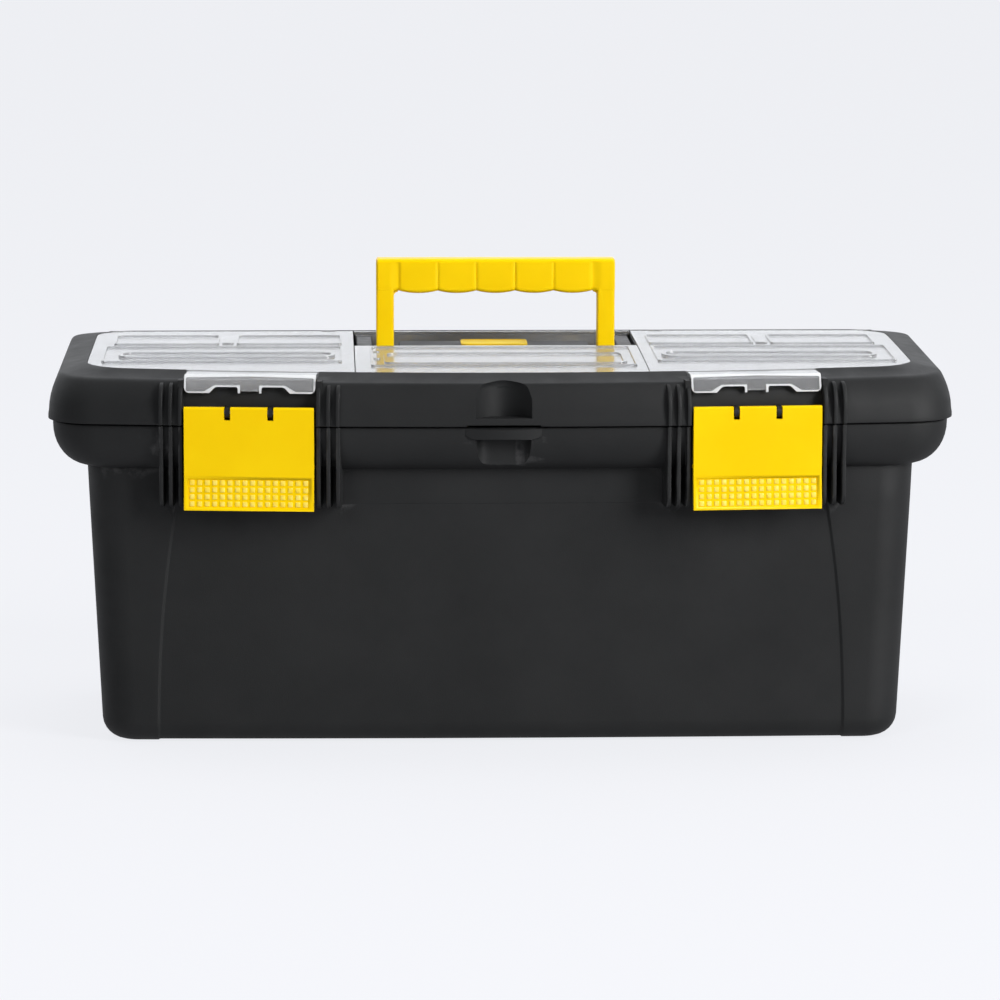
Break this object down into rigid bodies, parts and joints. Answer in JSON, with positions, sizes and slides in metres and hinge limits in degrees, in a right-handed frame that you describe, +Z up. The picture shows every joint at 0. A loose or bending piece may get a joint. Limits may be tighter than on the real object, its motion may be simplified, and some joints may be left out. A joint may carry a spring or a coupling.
{
  "type": "toolbox",
  "caption": "Plastic toolbox with a fold-down carrying handle, two snap latches, a hinged lid with clear-covered organiser bins, and a lift-out tray inside.",
  "frame": {"origin": "centre of the base footprint, on the plane that the feet stand on", "axes": "+Z up, -Y towards the latches at the front, +X to the right of someone facing the front, along the longest side"},
  "size_m": [0.495, 0.2471, 0.2558],
  "materials": {
    "black_shell": "moulded black polypropylene, fine grain, soft sheen",
    "yellow_plastic": "moulded yellow plastic, satin",
    "clear_cover": "frosted clear plastic",
    "tray_plastic": "moulded dark grey plastic",
    "badge_plate": "plain blank plate",
    "steel_pin": "drawn wire"
  },
  "bodies": {
    "tub": {"tub_shell": "black_shell", "lid_hinge_pin_left": "steel_pin", "lid_hinge_pin_right": "steel_pin"},
    "tray": {"tray_body": "tray_plastic", "tray_grip_wall": "tray_plastic", "tray_divider_left": "tray_plastic", "tray_divider_right": "tray_plastic"},
    "lid": {"lid_shell": "black_shell", "rear_strip": "clear_cover", "badge_plate": "badge_plate", "latch_pin_left": "steel_pin", "latch_pin_right": "steel_pin", "handle_pin_left": "steel_pin", "handle_pin_right": "steel_pin", "left_bin_divider_outer": "tray_plastic", "left_bin_divider_inner": "tray_plastic", "centre_bin_divider": "tray_plastic", "right_bin_divider_inner": "tray_plastic", "right_bin_divider_outer": "tray_plastic"},
    "handle": {"carry_handle": "yellow_plastic"},
    "left_cover": {"left_cover": "clear_cover"},
    "centre_cover": {"centre_cover": "clear_cover"},
    "right_cover": {"right_cover": "clear_cover"},
    "left_latch": {"left_latch": "yellow_plastic"},
    "right_latch": {"right_latch": "yellow_plastic"}
  },
  "joints": [
    {"name": "lid_hinge", "type": "hinge", "parent": "tub", "child": "lid", "pos_m": [0, 0.118, 0.178], "axis": [-1, 0, 0], "range_deg": [0, 105]},
    {"name": "tray_lift", "type": "slide", "parent": "tub", "child": "tray", "axis": [0, 0, 1], "range_m": [0, 0.012]},
    {"name": "handle_fold", "type": "hinge", "parent": "lid", "child": "handle", "pos_m": [0, 0.0225, 0.1955], "axis": [-1, 0, 0], "range_deg": [0, 90]},
    {"name": "left_cover_hinge", "type": "hinge", "parent": "lid", "child": "left_cover", "pos_m": [-0.1375, 0.088, 0.20603], "axis": [-1, 0, 0], "range_deg": [0, 110]},
    {"name": "centre_cover_hinge", "type": "hinge", "parent": "lid", "child": "centre_cover", "pos_m": [0, 0.0125, 0.20599], "axis": [-1, 0, 0], "range_deg": [0, 85]},
    {"name": "right_cover_hinge", "type": "hinge", "parent": "lid", "child": "right_cover", "pos_m": [0.1375, 0.088, 0.20603], "axis": [-1, 0, 0], "range_deg": [0, 110]},
    {"name": "left_latch_hinge", "type": "hinge", "parent": "lid", "child": "left_latch", "pos_m": [-0.13737, -0.11583, 0.1855], "axis": [-0.996, 0.0894, 0], "range_deg": [0, 110]},
    {"name": "right_latch_hinge", "type": "hinge", "parent": "lid", "child": "right_latch", "pos_m": [0.13737, -0.11583, 0.1855], "axis": [-0.996, -0.0894, 0], "range_deg": [0, 110]}
  ]
}
